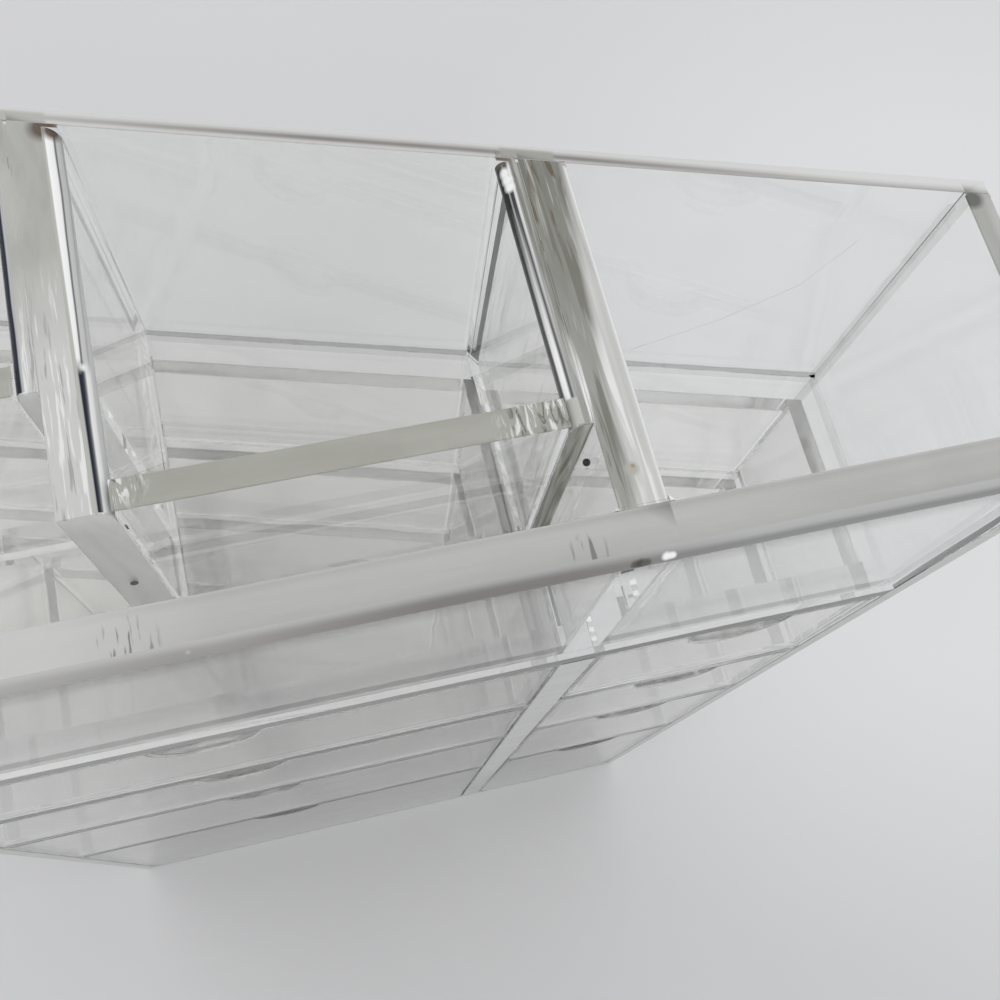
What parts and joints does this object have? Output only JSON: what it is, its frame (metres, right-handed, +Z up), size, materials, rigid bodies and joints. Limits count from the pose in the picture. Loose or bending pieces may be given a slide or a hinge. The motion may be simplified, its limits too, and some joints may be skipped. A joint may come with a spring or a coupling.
{
  "type": "makeup organizer",
  "caption": "Clear acrylic makeup organizer with open top compartments stepped along an angled back and sliding drawers below.",
  "frame": {"origin": "centre of the bounding box at the surface that the organizer stands on", "axes": "+Z up, the drawers face -Y, +X to the right of someone who faces the drawers"},
  "size_m": [0.162, 0.0809, 0.26],
  "materials": {
    "sheet_acrylic": "clear polished",
    "thick_acrylic": "clear polished, grey-green through the sheet",
    "drawer_acrylic": "clear polished"
  },
  "bodies": {
    "case": {"base_panel": "thick_acrylic", "back_panel": "sheet_acrylic", "left_side_panel": "sheet_acrylic", "right_side_panel": "sheet_acrylic", "tray_floor": "sheet_acrylic", "tray_front_wall": "thick_acrylic", "left_divider": "thick_acrylic", "left_cheek": "sheet_acrylic", "middle_cheek": "sheet_acrylic", "centre_divider": "thick_acrylic", "left_cross_wall": "thick_acrylic", "middle_cross_wall": "thick_acrylic", "drawer_partition": "thick_acrylic", "wide_first_shelf": "sheet_acrylic", "wide_second_shelf": "sheet_acrylic", "wide_third_shelf": "sheet_acrylic", "narrow_first_shelf": "sheet_acrylic", "narrow_second_shelf": "sheet_acrylic", "narrow_third_shelf": "sheet_acrylic"},
    "wide_first_drawer": {"wide_first_drawer_front": "drawer_acrylic", "wide_first_drawer_bottom": "drawer_acrylic", "wide_first_drawer_left_side": "drawer_acrylic", "wide_first_drawer_right_side": "drawer_acrylic", "wide_first_drawer_back": "drawer_acrylic"},
    "wide_second_drawer": {"wide_second_drawer_front": "drawer_acrylic", "wide_second_drawer_bottom": "drawer_acrylic", "wide_second_drawer_left_side": "drawer_acrylic", "wide_second_drawer_right_side": "drawer_acrylic", "wide_second_drawer_back": "drawer_acrylic"},
    "wide_third_drawer": {"wide_third_drawer_front": "drawer_acrylic", "wide_third_drawer_bottom": "drawer_acrylic", "wide_third_drawer_left_side": "drawer_acrylic", "wide_third_drawer_right_side": "drawer_acrylic", "wide_third_drawer_back": "drawer_acrylic"},
    "wide_fourth_drawer": {"wide_fourth_drawer_front": "drawer_acrylic", "wide_fourth_drawer_bottom": "drawer_acrylic", "wide_fourth_drawer_left_side": "drawer_acrylic", "wide_fourth_drawer_right_side": "drawer_acrylic", "wide_fourth_drawer_back": "drawer_acrylic"},
    "narrow_first_drawer": {"narrow_first_drawer_front": "drawer_acrylic", "narrow_first_drawer_bottom": "drawer_acrylic", "narrow_first_drawer_left_side": "drawer_acrylic", "narrow_first_drawer_right_side": "drawer_acrylic", "narrow_first_drawer_back": "drawer_acrylic"},
    "narrow_second_drawer": {"narrow_second_drawer_front": "drawer_acrylic", "narrow_second_drawer_bottom": "drawer_acrylic", "narrow_second_drawer_left_side": "drawer_acrylic", "narrow_second_drawer_right_side": "drawer_acrylic", "narrow_second_drawer_back": "drawer_acrylic"},
    "narrow_third_drawer": {"narrow_third_drawer_front": "drawer_acrylic", "narrow_third_drawer_bottom": "drawer_acrylic", "narrow_third_drawer_left_side": "drawer_acrylic", "narrow_third_drawer_right_side": "drawer_acrylic", "narrow_third_drawer_back": "drawer_acrylic"},
    "narrow_fourth_drawer": {"narrow_fourth_drawer_front": "drawer_acrylic", "narrow_fourth_drawer_bottom": "drawer_acrylic", "narrow_fourth_drawer_left_side": "drawer_acrylic", "narrow_fourth_drawer_right_side": "drawer_acrylic", "narrow_fourth_drawer_back": "drawer_acrylic"}
  },
  "joints": [
    {"name": "wide_first_drawer_slide", "type": "slide", "parent": "case", "child": "wide_first_drawer", "axis": [0, -1, 0], "range_m": [0, 0.034]},
    {"name": "wide_second_drawer_slide", "type": "slide", "parent": "case", "child": "wide_second_drawer", "axis": [0, -1, 0], "range_m": [0, 0.034]},
    {"name": "wide_third_drawer_slide", "type": "slide", "parent": "case", "child": "wide_third_drawer", "axis": [0, -1, 0], "range_m": [0, 0.034]},
    {"name": "wide_fourth_drawer_slide", "type": "slide", "parent": "case", "child": "wide_fourth_drawer", "axis": [0, -1, 0], "range_m": [0, 0.034]},
    {"name": "narrow_first_drawer_slide", "type": "slide", "parent": "case", "child": "narrow_first_drawer", "axis": [0, -1, 0], "range_m": [0, 0.024]},
    {"name": "narrow_second_drawer_slide", "type": "slide", "parent": "case", "child": "narrow_second_drawer", "axis": [0, -1, 0], "range_m": [0, 0.024]},
    {"name": "narrow_third_drawer_slide", "type": "slide", "parent": "case", "child": "narrow_third_drawer", "axis": [0, -1, 0], "range_m": [0, 0.024]},
    {"name": "narrow_fourth_drawer_slide", "type": "slide", "parent": "case", "child": "narrow_fourth_drawer", "axis": [0, -1, 0], "range_m": [0, 0.024]}
  ]
}
